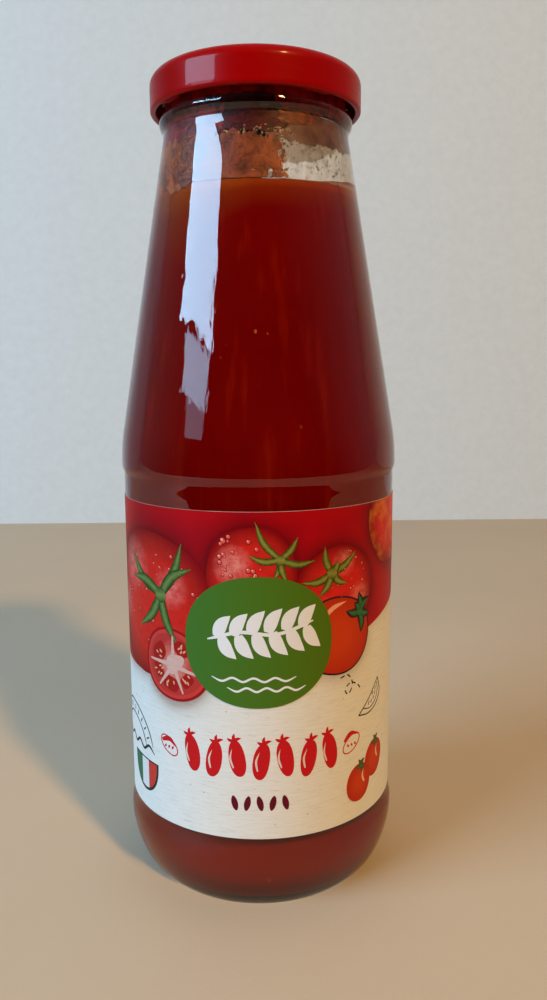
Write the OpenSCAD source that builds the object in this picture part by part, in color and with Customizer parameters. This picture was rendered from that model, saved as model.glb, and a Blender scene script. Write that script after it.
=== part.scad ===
// Glass passata bottle with a twist-off metal cap, a wrap-round paper label and its contents.
// Millimetres, +Z up, origin at the centre of the foot on the surface that the bottle stands on.

/* [Body] */
// Height of the closed bottle, from the foot to the top of the cap
total_h = 218.3; // [190:0.1:260]
// Diameter of the heel, the widest part of the bottle
body_d = 77.4; // [64:0.1:100]
// Height at which the heel curve reaches that diameter
heel_h = 15.5; // [8:0.5:16.5]
// Roundness of the heel: 2 is an ellipse, less is more sloping
heel_power = 1.6; // [1.3:0.05:2.4]
// How far the foot lies inside the heel
heel_inset = 6.9; // [4:0.1:10]
// How far the shoulder lies inside the heel
shoulder_inset = 0.25; // [0:0.05:0.75]
// Radius of the rounding between the shoulder and the cone
shoulder_round = 60; // [20:1:80]

/* [Foot] */
// Width of the ring that the bottle stands on
foot_w = 2; // [1:0.1:4]
// Depth of the hollow under the base
punt_h = 2.5; // [1:0.1:6]

/* [Glass] */
// Thickness of the side wall
wall = 2.2; // [1.6:0.1:3.4]
// Thickness of the base
base_t = 3.5; // [2.5:0.1:6]
// Radius of the inside corner above the base
inner_heel_r = 9; // [5:0.5:14]

/* [Label] */
// Height of the label
label_h = 86; // [50:0.5:105]
// Thickness of the paper
label_t = 0.1; // [0.08:0.01:0.2]
// Width of the open strip between the label's ends, at the back
label_gap = 8; // [2:1:40]
// Height of the lower end of the recessed panel that carries the label
panel_z = 22; // [21:0.5:30]
// How deep the panel lies inside the heel
panel_depth = 0.8; // [0.4:0.1:1.5]
// Bare strip of the panel above the label
panel_bare = 5.8; // [1:0.1:12]

/* [Neck] */
// Outer diameter over the thread
thread_d = 50.4; // [44:0.1:58]
// Depth of the thread ridges
thread_depth = 1.3; // [0.9:0.1:1.6]
// Number of thread ridges, and of the lugs in the cap
thread_starts = 4; // [3:1:6]
// Angle that each thread ridge runs round the neck
thread_sweep = 52; // [20:1:58]
// Thickness of the glass at the mouth
lip_t = 2.4; // [2:0.1:3.2]
// How far the bead below the cap stands out past the thread
bead_proud = 0.55; // [0.2:0.05:0.9]
// How far the bead stands out past the top of the cone
bead_rise = 1.1; // [0.5:0.1:2]
// Height of the bead
bead_h = 4.1; // [3:0.1:6]
// Gap between the bead and the cap's edge
bead_to_cap = 1.3; // [0.8:0.1:2.5]

/* [Cap] */
// Height of the cap
cap_h = 9.5; // [9:0.1:13]
// Thickness of the sheet metal
cap_t = 0.3; // [0.2:0.05:0.5]
// Radius of the rounding at the cap's top edge
cap_round = 3; // [1.5:0.1:3.5]
// Radius of the rolled lower edge
curl_r = 0.8; // [0.5:0.05:0.9]
// Depth of the panel inside the raised ring
panel_drop = 0.8; // [0.3:0.1:1.2]
// Diameter of the safety button
button_d = 20; // [14:0.5:24]
// Height of the safety button
button_h = 0.4; // [0.2:0.05:0.6]
// Angle that each lug takes
lug_sweep = 18; // [8:1:24]
// Height of each lug
lug_h = 1.4; // [0.8:0.1:1.8]

/* [Contents] */
// Free height between the lip and the surface of the passata
headspace = 28.7; // [14:0.1:160]

/* [Hidden] */
$fn = 96;
arc_steps = 14;

// Clearances between the pieces
contents_gap = 0.05;
glue_gap = 0.02;
seal_gap = 0.3;
lug_gap = 0.4;
lug_clear = 0.6;
thread_clear = 2.5;
cap_panel_clear = 1;

// Small shapes of the glass and the cap
step_h = 5;
shoulder_step_h = 2.5;
label_margin = 0.5;
lip_round = 0.9;
bead_crest = 1.1;
bead_chamfer = 0.7;
bead_edge = 0.25;
thread_h = 1.6;
thread_taper = 0.45;
ridge_root = 0.5;
emboss_w = 1.2;
emboss_steps = 6;

// Radii and heights that follow from the sizes above
heel_r = body_d / 2;
foot_r = heel_r - heel_inset;
panel_r = heel_r - panel_depth;
shoulder_r = heel_r - shoulder_inset;
label_z = panel_z + label_margin;
panel_top = label_z + label_h + panel_bare;
shoulder_z = panel_top + shoulder_step_h;
cap_z = total_h - cap_h;
thread_r = thread_d / 2;
finish_r = thread_r - thread_depth;
mouth_r = finish_r - lip_t;
bead_r = thread_r + bead_proud;
neck_r = bead_r - bead_rise;
bead_top = cap_z - bead_to_cap;
neck_z = bead_top - bead_h;
mouth_z = total_h - cap_t - seal_gap;
fill_z = mouth_z - headspace;
cap_r = thread_r + thread_clear + cap_t;
lug_r = finish_r + lug_clear;
lug_z = cap_z + cap_t;
thread_z = lug_z + lug_h + lug_gap;
cap_panel_r = mouth_r - cap_panel_clear;

// Points along a circular arc from angle a0 to angle a1
function arc(centre, r, a0, a1) =
    [for (i = [0 : arc_steps]) let (a = a0 + (a1 - a0) * i / arc_steps) centre + r * [cos(a), sin(a)]];

// Points of a smooth step from radius r0 at height z0 to radius r1 at height z1
function eased(r0, z0, r1, z1, steps = arc_steps) =
    [for (i = [0 : steps]) let (s = i / steps)
        [r0 + (r1 - r0) * (1 - cos(180 * s)) / 2, z0 + (z1 - z0) * s]];

// Points of a quarter superellipse that rises from the flat foot to a vertical side
function heel_curve(r0, r1, h, power) =
    [for (i = [0 : arc_steps]) let (a = 90 * i / arc_steps, e = 2 / power)
        [r0 + (r1 - r0) * pow(sin(a), e), h * (1 - pow(cos(a), e))]];

// Angle at which a line from a point above touches the right side of a circle
function tangent_angle(centre, r, point) =
    let (d = point - centre) atan2(d[1], d[0]) - acos(r / norm(d));

// Shoulder arc that leaves the vertical side at height z and ends on the line to the top point
function shoulder_arc(side_r, z, r, top) =
    let (centre = [side_r - r, z]) arc(centre, r, 0, tangent_angle(centre, r, top));

// Arc over a shallow dome of height h that stands on a circle of radius r at height z
function dome(r, z, h) =
    let (big_r = (r * r + h * h) / (2 * h), half = asin(r / big_r))
    [for (i = [0 : arc_steps]) let (a = half * i / arc_steps)
        [big_r * sin(a), z + h - big_r * (1 - cos(a))]];

function reverse(points) = [for (i = [len(points) - 1 : -1 : 0]) points[i]];

// Outside of the glass, from the centre of the base up to the top of the lip
function outside() = concat(
    dome(foot_r - foot_w, 0, punt_h),
    heel_curve(foot_r, heel_r, heel_h, heel_power),
    eased(heel_r, panel_z - step_h, panel_r, panel_z),
    eased(panel_r, panel_top, shoulder_r, shoulder_z),
    shoulder_arc(shoulder_r, shoulder_z, shoulder_round, [neck_r, neck_z]),
    eased(neck_r, neck_z, bead_r, bead_top - bead_crest),
    [[bead_r - bead_edge, bead_top - bead_edge], [bead_r - bead_chamfer, bead_top], [finish_r, bead_top]],
    arc([finish_r - lip_round, mouth_z - lip_round], lip_round, 0, 90));

// Inside of the glass, drawn in by gap, from the centre of the base up to the neck
function inside(gap = 0) =
    let (side_r = panel_r - wall - gap, corner_z = base_t + gap, corner_r = inner_heel_r)
    concat(
        dome(side_r - corner_r, corner_z, punt_h),
        arc([side_r - corner_r, corner_z + corner_r], corner_r, -90, 0),
        shoulder_arc(side_r, shoulder_z, shoulder_round, [neck_r - wall - gap, neck_z]),
        [[mouth_r - gap, bead_top]]);

// The part of an outline below height z, closed by a level line to the axis
function below(points, z) =
    let (i = max([for (k = [0 : len(points) - 1]) if (points[k][1] < z) k]),
         a = points[i], b = points[i + 1], s = (z - a[1]) / (b[1] - a[1]))
    concat([for (k = [0 : i]) points[k]], [a + s * (b - a), [0, z]]);

// Section of the cap's outer face moved in by t: button, panel, raised ring, rounded edge, side
function cap_face(t) =
    let (floor_z = total_h - panel_drop - t, button_r = button_d / 2)
    concat(
        [[0, floor_z + button_h]],
        eased(button_r - emboss_w, floor_z + button_h, button_r, floor_z, emboss_steps),
        eased(cap_panel_r - emboss_w, floor_z, cap_panel_r, total_h - t, emboss_steps),
        arc([cap_r - cap_round, total_h - cap_round], cap_round - t, 90, 0),
        [[cap_r - t, cap_z + curl_r]]);

// Turned copies of a shape, one for each thread start
module each_start() {
    for (i = [0 : thread_starts - 1])
        rotate([0, 0, 360 * i / thread_starts]) children();
}

// Section of one thread ridge, rooted in the wall of the finish
module ridge_section() {
    root_r = finish_r - ridge_root;
    polygon([[root_r, 0], [thread_r - thread_taper, 0], [thread_r, thread_taper],
        [thread_r, thread_h - thread_taper], [finish_r, thread_h], [root_r, thread_h]]);
}

// The clear glass: hollow body, bead, threaded finish and open mouth
module bottle() {
    lip = arc([mouth_r + lip_round, mouth_z - lip_round], lip_round, 90, 180);
    color([0.86, 0.92, 0.9, 0.35]) union() {
        rotate_extrude() polygon(concat(outside(), lip, reverse(inside())));
        each_start() translate([0, 0, thread_z]) rotate_extrude(angle = thread_sweep) ridge_section();
    }
}

// The tomato passata, from the base up to its level
module passata() {
    color([0.5, 0.05, 0.02]) rotate_extrude() polygon(below(inside(contents_gap), fill_z));
}

// The paper label round the recessed panel, open by label_gap at the back
module label() {
    inner_r = panel_r + glue_gap;
    open_angle = label_gap / (2 * PI * inner_r) * 360;
    color([0.86, 0.82, 0.74]) rotate([0, 0, 90 + open_angle / 2])
        rotate_extrude(angle = 360 - open_angle) translate([inner_r, label_z]) square([label_t, label_h]);
}

// The twist-off cap: lacquered sheet, rolled lower edge and inward lugs
module cap() {
    color([0.65, 0.01, 0.01]) union() {
        rotate_extrude() polygon(concat(cap_face(0), reverse(cap_face(cap_t))));
        rotate_extrude() translate([cap_r - curl_r, cap_z + curl_r]) circle(r = curl_r);
        rotate([0, 0, thread_sweep / 2]) each_start()
            rotate_extrude(angle = lug_sweep) translate([lug_r, lug_z])
                square([cap_r - curl_r - lug_r, lug_h]);
    }
}

bottle();
passata();
label();
cap();
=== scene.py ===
"""Looks of a closed glass bottle of passata: clear glass, contents, lacquered cap and printed paper label.

The scene is in metres in the CAD frame, and named sizes are in millimetres unless they say otherwise. The
bottle stands on z = 0 and its label's front faces -Y.
"""

import random
from collections import namedtuple
from math import (acos, asin, atan2, ceil, copysign, cos, degrees, dist, exp, floor, hypot, pi, radians, sin,
                  sqrt)

import bmesh
import bpy
from mathutils import Matrix, Vector, noise


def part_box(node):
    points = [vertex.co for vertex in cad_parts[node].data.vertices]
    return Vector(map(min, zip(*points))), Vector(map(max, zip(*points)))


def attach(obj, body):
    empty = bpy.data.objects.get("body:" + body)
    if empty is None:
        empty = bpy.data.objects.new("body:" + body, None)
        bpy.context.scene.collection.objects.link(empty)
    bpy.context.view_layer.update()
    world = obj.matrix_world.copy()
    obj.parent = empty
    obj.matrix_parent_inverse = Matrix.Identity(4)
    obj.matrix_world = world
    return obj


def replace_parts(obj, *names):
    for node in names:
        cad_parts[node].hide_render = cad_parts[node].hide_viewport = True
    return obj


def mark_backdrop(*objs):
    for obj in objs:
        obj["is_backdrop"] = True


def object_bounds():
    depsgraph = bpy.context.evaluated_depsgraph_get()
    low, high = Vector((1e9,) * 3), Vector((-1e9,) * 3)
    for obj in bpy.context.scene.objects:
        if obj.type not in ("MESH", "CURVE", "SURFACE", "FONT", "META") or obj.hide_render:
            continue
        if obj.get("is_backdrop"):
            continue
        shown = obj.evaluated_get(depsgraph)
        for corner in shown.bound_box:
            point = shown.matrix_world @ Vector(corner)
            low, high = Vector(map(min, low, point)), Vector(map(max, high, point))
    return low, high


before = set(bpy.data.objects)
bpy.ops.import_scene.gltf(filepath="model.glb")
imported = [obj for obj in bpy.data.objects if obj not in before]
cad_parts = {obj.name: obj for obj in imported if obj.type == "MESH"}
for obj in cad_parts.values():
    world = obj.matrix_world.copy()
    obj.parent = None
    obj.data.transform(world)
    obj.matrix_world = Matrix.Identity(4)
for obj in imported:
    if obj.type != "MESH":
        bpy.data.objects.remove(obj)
CAD_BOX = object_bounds()

MM = 0.001


def node_box(name):
    """Lowest and highest corner of a CAD node, in millimetres to the nearest hundredth."""
    return [Vector([round(v / MM, 2) for v in corner]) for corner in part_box(name)]


# Sizes in millimetres, taken from the frame
BOTTLE_HIGH = node_box("bottle")[1]
LABEL_LOW, LABEL_HIGH = node_box("label")
CAP_LOW, CAP_HIGH = node_box("cap")
FILL_Z = node_box("passata")[1].z
HEEL_R, MOUTH_Z = BOTTLE_HIGH.x, BOTTLE_HIGH.z
CAP_R, CAP_Z, CAP_TOP = CAP_HIGH.x, CAP_LOW.z, CAP_HIGH.z
LABEL_Z0, LABEL_Z1, LABEL_R = LABEL_LOW.z, LABEL_HIGH.z, LABEL_HIGH.x

# Sizes in millimetres that the frame doesn't give
PAPER_T = 0.1
LABEL_GAP = 8.0
GLUE_GAP = 0.02
PANEL_R = LABEL_R - PAPER_T - GLUE_GAP
PANEL_Z = LABEL_Z0 - 0.5
PANEL_TOP = LABEL_Z1 + 5.8
SHOULDER_R = HEEL_R - 0.25
SHOULDER_Z = PANEL_TOP + 2.5
SHOULDER_ROUND = 60.0
FOOT_R = HEEL_R - 6.9
FOOT_W = 2.0
PUNT_H = 2.5
HEEL_H = 15.5
HEEL_POWER = 1.6
WALL = 2.2
BASE_T = 3.5
INNER_HEEL_R = 9.0
BEAD_TOP = CAP_Z - 1.3
BEAD_R = 25.75
NECK_R = 24.65
NECK_Z = BEAD_TOP - 4.1
FINISH_R = 23.9
MOUTH_R = 21.5
LIP_ROUND = 0.9
THREAD_DEPTH = 1.3
THREAD_STARTS = 4
SHEET_T = 0.3
CURL_R = 0.8
CAP_ROUND = 3.0
CAP_PANEL_R = 20.5
PANEL_DROP = 0.8
BUTTON_R = 10.0
BUTTON_H = 0.4

# How far pieces that fill or wet the glass reach into its wall
INTO_WALL = 0.15
# Steps round the bottle, and the angle between two columns of the label
SEGMENTS = 224
COLUMN = radians(2)
# Steps round the bottle and per millimetre of height, of the sheets that films are cut from
FILM_COLUMNS = 360
FILM_ROWS = 3.6
# Roughness and specular level of printing ink
PRINT_ROUGH = 0.42
PRINT_SHINE = 0.1


# ---------------------------------------------------------------- outlines of turned pieces

def between(a, b, steps):
    """Evenly spaced values from a to b."""
    return [a + (b - a) * i / steps for i in range(steps + 1)]


def arc(centre, r, a0, a1, steps=16):
    """Points on a circle in the (radius, height) plane, angles in degrees."""
    angles = [radians(a) for a in between(a0, a1, steps)]
    return [(centre[0] + r * cos(a), centre[1] + r * sin(a)) for a in angles]


def eased(r0, z0, r1, z1, steps=16):
    """A smooth step from radius r0 at z0 to r1 at z1."""
    return [(r0 + (r1 - r0) * (1 - cos(pi * s)) / 2, z0 + (z1 - z0) * s) for s in between(0, 1, steps)]


def heel_curve(steps=28):
    """A quarter superellipse from the foot up to the widest part."""
    e = 2 / HEEL_POWER
    return [(FOOT_R + (HEEL_R - FOOT_R) * sin(a) ** e, HEEL_H * (1 - max(cos(a), 0) ** e))
            for a in between(0, pi / 2, steps)]


def shoulder_arc(side_r, top):
    """The shoulder's arc, from the vertical side until it points at the top of the cone."""
    centre = (side_r - SHOULDER_ROUND, SHOULDER_Z)
    dr, dz = top[0] - centre[0], top[1] - centre[1]
    end = degrees(atan2(dz, dr) - acos(SHOULDER_ROUND / hypot(dr, dz)))
    return arc(centre, SHOULDER_ROUND, 0, end)


def dome(r, z, h, steps=12):
    """A shallow dome of height h over a circle of radius r, from its centre outwards."""
    big = (r * r + h * h) / (2 * h)
    return [(big * sin(a), z + h - big * (1 - cos(a))) for a in between(0, asin(r / big), steps)]


def spaced(points, longest=1.6):
    """The same outline with its long stretches cut up and doubled points left out."""
    out = [points[0]]
    for r, z in points[1:]:
        r0, z0 = out[-1]
        length = hypot(r - r0, z - z0)
        if length < 1e-4:
            continue
        parts = max(1, ceil(length / longest))
        out += [(r0 + (r - r0) * i / parts, z0 + (z - z0) * i / parts) for i in range(1, parts + 1)]
    return out


def inner_side(gap=0.0):
    """The inside of the glass from the base's centre up to the neck, moved out by gap."""
    side_r = PANEL_R - WALL + gap
    corner = (side_r - INNER_HEEL_R, BASE_T - gap + INNER_HEEL_R)
    return (dome(corner[0], BASE_T - gap, PUNT_H) + arc(corner, INNER_HEEL_R, -90, 0)
            + shoulder_arc(side_r, (NECK_R - WALL + gap, NECK_Z))
            + eased(NECK_R - WALL + gap, NECK_Z, MOUTH_R + gap, BEAD_TOP, 8))


def radius_at(outline, z):
    """The radius of a rising outline at height z."""
    for (r0, z0), (r1, z1) in zip(outline, outline[1:]):
        if z0 <= z <= z1 and z1 > z0:
            return r0 + (r1 - r0) * (z - z0) / (z1 - z0)
    return outline[-1][0]


def at(angle, r, z):
    """A point in metres at an angle from the front, towards +X, and a radius and height in millimetres."""
    return Vector((r * sin(angle), -r * cos(angle), z)) * MM


def link(name, data, material=None):
    """A new object of this mesh, camera or light in the scene."""
    piece = bpy.data.objects.new(name, data)
    bpy.context.scene.collection.objects.link(piece)
    if material:
        data.materials.append(material)
    return piece


def solid(name, bm, material):
    """A smooth closed piece that rides on the bottle, made of a bmesh with its faces turned outwards."""
    bmesh.ops.recalc_face_normals(bm, faces=bm.faces)
    mesh = bpy.data.meshes.new(name)
    bm.to_mesh(mesh)
    bm.free()
    mesh.shade_smooth()
    piece = link(name, mesh, material)
    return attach(piece, "root")


def turned(name, outline, material, push=None):
    """A smooth turned piece. push(angle, r, z, i) moves the outline's point i outwards."""
    bm = bmesh.new()
    rings = []
    angles = [2 * pi * k / SEGMENTS for k in range(SEGMENTS)]
    for i, (r, z) in enumerate(outline):
        if r < 1e-6:
            rings.append([bm.verts.new(at(0, 0, z))])
        else:
            rings.append([bm.verts.new(at(a, r + (push(a, r, z, i) if push else 0), z)) for a in angles])
    for low, high in zip(rings, rings[1:]):
        for k in range(SEGMENTS):
            n = (k + 1) % SEGMENTS
            corners = [low[k % len(low)], low[n % len(low)], high[n % len(high)], high[k % len(high)]]
            bm.faces.new(list(dict.fromkeys(corners)))
    return solid(name, bm, material)


def fill_grid(bm, grid):
    """Faces between the neighbours of a grid of points, given as columns from left to right."""
    for left, right in zip(grid, grid[1:]):
        for j in range(len(left) - 1):
            bm.faces.new([left[j], right[j], right[j + 1], left[j + 1]])


def cut(bm, point, normal, near=1e-5, **clear):
    """Cuts a bmesh along a plane."""
    bmesh.ops.bisect_plane(bm, geom=bm.verts[:] + bm.edges[:] + bm.faces[:], dist=near,
                           plane_co=point, plane_no=normal, **clear)


# ---------------------------------------------------------------- materials

class Nodes:
    """A node tree, with short ways to add and link its nodes."""

    def __init__(self, tree):
        self.tree = tree

    def feed(self, socket, value):
        """Links a socket to another node's output, or sets its value."""
        if isinstance(value, bpy.types.NodeSocket):
            self.tree.links.new(value, socket)
        elif hasattr(socket.default_value, "__len__") and len(socket.default_value) == 4 and len(value) == 3:
            socket.default_value = (*value, 1)
        else:
            socket.default_value = value

    def node(self, kind, inputs=(), **settings):
        """A new node. inputs are (name or index, value) pairs."""
        made = self.tree.nodes.new("ShaderNode" + kind)
        for key, value in settings.items():
            setattr(made, key, value)
        for key, value in inputs:
            self.feed(made.inputs[key], value)
        return made

    def place(self, scale=(1, 1, 1), attribute=None):
        """Coordinates: the object's own in metres, or a mesh attribute, each axis times scale."""
        if attribute:
            source = self.node("Attribute", attribute_name=attribute).outputs["Vector"]
        else:
            source = self.node("TexCoord").outputs["Object"]
        return self.scaled(source, scale)

    def scaled(self, vector, scale):
        return self.node("Mapping", [("Vector", vector), ("Scale", scale)]).outputs["Vector"]

    def noise(self, where, scale, detail=3.0, rough=0.55, distortion=0.0):
        inputs = [("Vector", where), ("Scale", scale), ("Detail", detail), ("Roughness", rough),
                  ("Distortion", distortion)]
        return self.node("TexNoise", inputs).outputs["Fac"]

    def cells(self, where, scale):
        """Distance from the middle of the nearest of many scattered cells."""
        return self.node("TexVoronoi", [("Vector", where), ("Scale", scale)]).outputs["Distance"]

    def math(self, operation, *values, clamp=False):
        return self.node("Math", enumerate(values), operation=operation, use_clamp=clamp).outputs[0]

    def length(self, vector):
        return self.node("VectorMath", [(0, vector)], operation="LENGTH").outputs["Value"]

    def ramp(self, factor, *stops):
        """A colour ramp. stops are (position, colour or grey) pairs."""
        made = self.node("ValToRGB", [("Fac", factor)])
        elements = made.color_ramp.elements
        while len(elements) < len(stops):
            elements.new(0.5)
        for element, (position, colour) in zip(elements, stops):
            element.position = position
            element.color = (*colour, 1) if hasattr(colour, "__len__") else (colour, colour, colour, 1)
        return made.outputs["Color"]

    def mix(self, factor, a, b):
        return self.node("Mix", [(0, factor), (6, a), (7, b)], data_type="RGBA").outputs[2]

    def axis(self, vector, name):
        return self.node("SeparateXYZ", [(0, vector)]).outputs[name]


class Paint(Nodes):
    """A material with one main shader."""

    def __init__(self, name, **sockets):
        self.material = bpy.data.materials.new(name)
        self.material.use_nodes = True
        super().__init__(self.material.node_tree)
        self.shader = self.tree.nodes["Principled BSDF"]
        for socket, value in sockets.items():
            self.give(socket.replace("_", " "), value)

    def give(self, socket, value):
        """Feeds one of the shader's own sockets."""
        self.feed(self.shader.inputs[socket], value)

    def bump(self, height, strength, distance):
        """Bump of this many metres."""
        inputs = [("Height", height), ("Strength", strength), ("Distance", distance)]
        self.give("Normal", self.node("Bump", inputs).outputs["Normal"])


def glass_paint():
    """Clear glass with faint smudges, which lets lamps light what is behind it."""
    paint = Paint("clear_glass", Base_Color=(0.955, 0.97, 0.955), Transmission_Weight=1.0, IOR=1.5)
    smudge = paint.noise(paint.place((1, 1, 0.5)), 90, 5, 0.6, 1.0)
    paint.give("Roughness", paint.ramp(smudge, (0.5, 0.0), (0.75, 0.035)))
    height = paint.math("MULTIPLY", paint.axis(paint.place(), "Z"), 4.0)
    low_cone = paint.ramp(height, (0.48, 0.0), (0.54, 1.0), (0.62, 1.0), (0.70, 0.25))
    ribs = paint.noise(paint.place((1, 1, 0.045)), 330, 3, 0.6)
    paint.bump(paint.math("MULTIPLY", ribs, low_cone), 1.0, 0.00009)
    clear = paint.node("BsdfTransparent", [("Color", (0.93, 0.95, 0.93))])
    shadow = paint.node("LightPath").outputs["Is Shadow Ray"]
    mixed = paint.node("MixShader", [(0, shadow), (1, paint.shader.outputs[0]), (2, clear.outputs[0])])
    paint.feed(paint.tree.nodes["Material Output"].inputs["Surface"], mixed.outputs[0])
    return paint.material


def passata_paint():
    """Thick red passata, paler and more orange in a wavy band just under its surface that reaches deeper on
    the left, with pulp and faint streaks.
    """
    paint = Paint("passata_pulp", Roughness=0.5, Specular_IOR_Level=0.0)
    where = paint.place()
    height = paint.math("MULTIPLY", paint.axis(where, "Z"), 1 / MM)
    streaks = paint.noise(paint.place((1, 1, 0.05)), 260, 3)
    cloud = paint.noise(where, 28, 4)
    red = paint.mix(paint.ramp(cloud, (0.3, 0), (0.75, 1)), (0.106, 0.0005, 0.0002), (0.130, 0.0010, 0.0003))
    red = paint.mix(paint.ramp(streaks, (0.56, 0.0), (0.72, 0.6)), red, (0.19, 0.006, 0.0008))
    low = paint.math("DIVIDE", height, LABEL_Z0 + 6, clamp=True)
    red = paint.mix(paint.ramp(low, (0.75, 1.0), (1.0, 0.0)), red, (0.165, 0.0060, 0.0008))
    # A paler, more orange band just under the surface, wavy and reaching deeper towards the left.
    run = paint.math("MULTIPLY", paint.noise(paint.place((1, 1, 0.25)), 150, 3), 3.0)
    left = paint.ramp(paint.math("MULTIPLY", paint.axis(where, "X"), -60.0), (0.05, 1.0), (0.95, 0.42))
    depth = paint.math("SUBTRACT", FILL_Z, height)
    wavy = paint.math("MULTIPLY", paint.math("ADD", depth, run), left)
    thin = paint.ramp(paint.math("DIVIDE", wavy, 16, clamp=True), (0.12, 1.0), (0.28, 0.35), (0.6, 0.0))
    red = paint.mix(thin, red, (0.215, 0.034, 0.0035))
    some = paint.ramp(paint.noise(where, 75, 2), (0.52, 0.0), (0.60, 0.7))
    cells = paint.cells(paint.place((1, 1, 0.7)), 230.0)
    specks = paint.math("MULTIPLY", paint.ramp(cells, (0.06, 1.0), (0.11, 0.0)), some)
    paint.give("Base Color", paint.mix(specks, red, (0.42, 0.09, 0.02)))
    paint.bump(paint.noise(where, 60, 3), 0.15, 0.0002)
    return paint.material


def film_paint(name, colour):
    """The thin lumpy film that the passata leaves on the wall above its surface, with painted shade along the
    creases between its lumps.
    """
    paint = Paint(name, Roughness=0.38, Specular_IOR_Level=0.2)
    where = paint.place()
    folds = paint.math("SUBTRACT", paint.noise(where, 300, 2, 0.5, 1.2), 0.5)
    # Painted shade: the creases between the lumps darken the film's colour, and they also sink its bump.
    crease_shade = paint.ramp(paint.math("ABSOLUTE", folds), (0.0, 0.10), (0.035, 0.0))
    cloud = paint.math("SUBTRACT", paint.noise(where, 210, 5, 0.65, 0.6), crease_shade)
    dark, pale = [tuple(share * c for c in colour) for share in (0.5, 1.5)]
    paint.give("Base Color", paint.ramp(cloud, (0.36, dark), (0.50, colour), (0.66, pale)))
    paint.bump(cloud, 0.6, 0.0006)
    return paint.material


def water_paint():
    """Drops of condensation."""
    paint = Paint("condensation", Base_Color=(0.98, 0.98, 0.97), Transmission_Weight=1.0, IOR=1.33)
    grain = paint.noise(paint.place(), 800, 2)
    paint.give("Roughness", paint.ramp(grain, (0.4, 0.0), (0.8, 0.03)))
    return paint.material


def lacquer_paint():
    """Gloss red lacquer over tinplate, with fine orange peel and faint rub marks."""
    paint = Paint("red_lacquer", Roughness=0.30, Coat_Weight=0.18, Coat_Roughness=0.07, Coat_IOR=1.5,
                  Specular_IOR_Level=0.05)
    where = paint.place()
    tone = paint.noise(where, 45, 4)
    red = paint.ramp(tone, (0.3, (0.33, 0.0003, 0.0005)), (0.7, (0.38, 0.0005, 0.0007)))
    worn = paint.noise(paint.place((1, 1, 6)), 240, 5, 0.7)
    paint.give("Base Color", paint.mix(paint.ramp(worn, (0.66, 0.0), (0.8, 0.22)), red, (0.40, 0.02, 0.02)))
    paint.give("Roughness", paint.ramp(worn, (0.4, 0.30), (0.8, 0.46)))
    paint.bump(paint.noise(where, 1500, 2), 0.12, 0.00004)
    return paint.material


def paper_relief(paint, flat):
    """Short raised fibres that lie along the label, as height."""
    long_fibre = paint.noise(paint.scaled(flat, (0.55, 7.0, 1)), 3.2, 4, 0.6)
    short_fibre = paint.noise(paint.scaled(flat, (2.2, 15.0, 1)), 4.0, 3, 0.6)
    return paint.math("ADD", long_fibre, paint.math("MULTIPLY", short_fibre, 0.6))


def on_label(paint):
    """Coordinates on the unrolled label, one unit for each centimetre."""
    return paint.place((100, 100, 1), "flat")


def shaded(paint, colour, dark):
    """A colour that turns darker where the mesh says so, next to the fruit."""
    return paint.mix(paint.node("Attribute", attribute_name="shade").outputs["Fac"], colour, dark)


def printed(paint, colour, strength=0.3):
    """The finished material of a print: its colour, on paper that shows through as a fine relief."""
    paint.give("Base Color", colour)
    paint.bump(paper_relief(paint, on_label(paint)), strength, 0.00004)
    return paint.material


def paper_paint():
    """Cream paper with fibres, specks and soft shading next to the printed fruit."""
    paint = Paint("label_paper", Roughness=0.62, Specular_IOR_Level=0.15)
    flat = on_label(paint)
    relief = paper_relief(paint, flat)
    cream = paint.ramp(relief, (0.45, (0.54, 0.50, 0.42)), (0.68, (0.79, 0.765, 0.70)),
                       (0.95, (0.85, 0.83, 0.78)))
    streak = paint.noise(paint.scaled(flat, (0.9, 9.0, 1)), 2.3, 2)
    cream = paint.mix(paint.ramp(streak, (0.70, 0.0), (0.76, 0.45)), cream, (0.40, 0.35, 0.28))
    speck = paint.ramp(paint.cells(flat, 2.2), (0.035, 0.6), (0.06, 0.0))
    cream = paint.mix(speck, cream, (0.22, 0.16, 0.12))
    paint.give("Base Color", shaded(paint, cream, (0.33, 0.20, 0.13)))
    paint.bump(relief, 0.5, 0.00006)
    return paint.material


def red_field_paint():
    """The soft deep red behind the fruit."""
    paint = Paint("print_deep_red", Roughness=0.40, Specular_IOR_Level=0.1)
    cloud = paint.noise(on_label(paint), 0.45, 3, 0.5)
    red = paint.ramp(cloud, (0.35, (0.40, 0.001, 0.008)), (0.65, (0.54, 0.002, 0.004)))
    return printed(paint, shaded(paint, red, (0.09, 0.001, 0.004)), 0.2)


def fruit_paint(name, glows, warm):
    """Photographed fruit skin. glows are (x, z, size, strength) of highlights in the fruit's own plane."""
    paint = Paint(name, Roughness=0.40, Specular_IOR_Level=0.12)
    own = paint.place((1, 1, 0), "own")
    core, rim = (0.74, 0.020, 0.012), (0.25, 0.001, 0.004)
    bright, deep = [tuple(share * c for c in core) for share in (0.9, 0.55)]
    skin = paint.ramp(paint.length(own), (0.0, core), (0.62, bright), (0.86, deep), (1.0, rim))
    if warm:
        patch = paint.noise(own, 2.2, 4, 0.6)
        skin = paint.mix(paint.ramp(patch, (0.45, 0.0), (0.65, warm)), skin, (0.75, 0.30, 0.02))
    mottle = paint.noise(on_label(paint), 5.0, 5, 0.7)
    for x, z, size, strength in glows:
        offset = paint.node("VectorMath", [(0, own), (1, (-x, -z, 0))], operation="ADD").outputs[0]
        near = paint.ramp(paint.math("DIVIDE", paint.length(offset), size), (0.0, strength), (1.0, 0.0))
        ragged = paint.math("MULTIPLY", near, paint.ramp(mottle, (0.34, 0.35), (0.62, 1.0)))
        skin = paint.mix(ragged, skin, (0.95, 0.47, 0.40))
    return printed(paint, paint.mix(paint.ramp(mottle, (0.4, 0.22), (0.6, 0.0)), skin, rim), 0.2)


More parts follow.
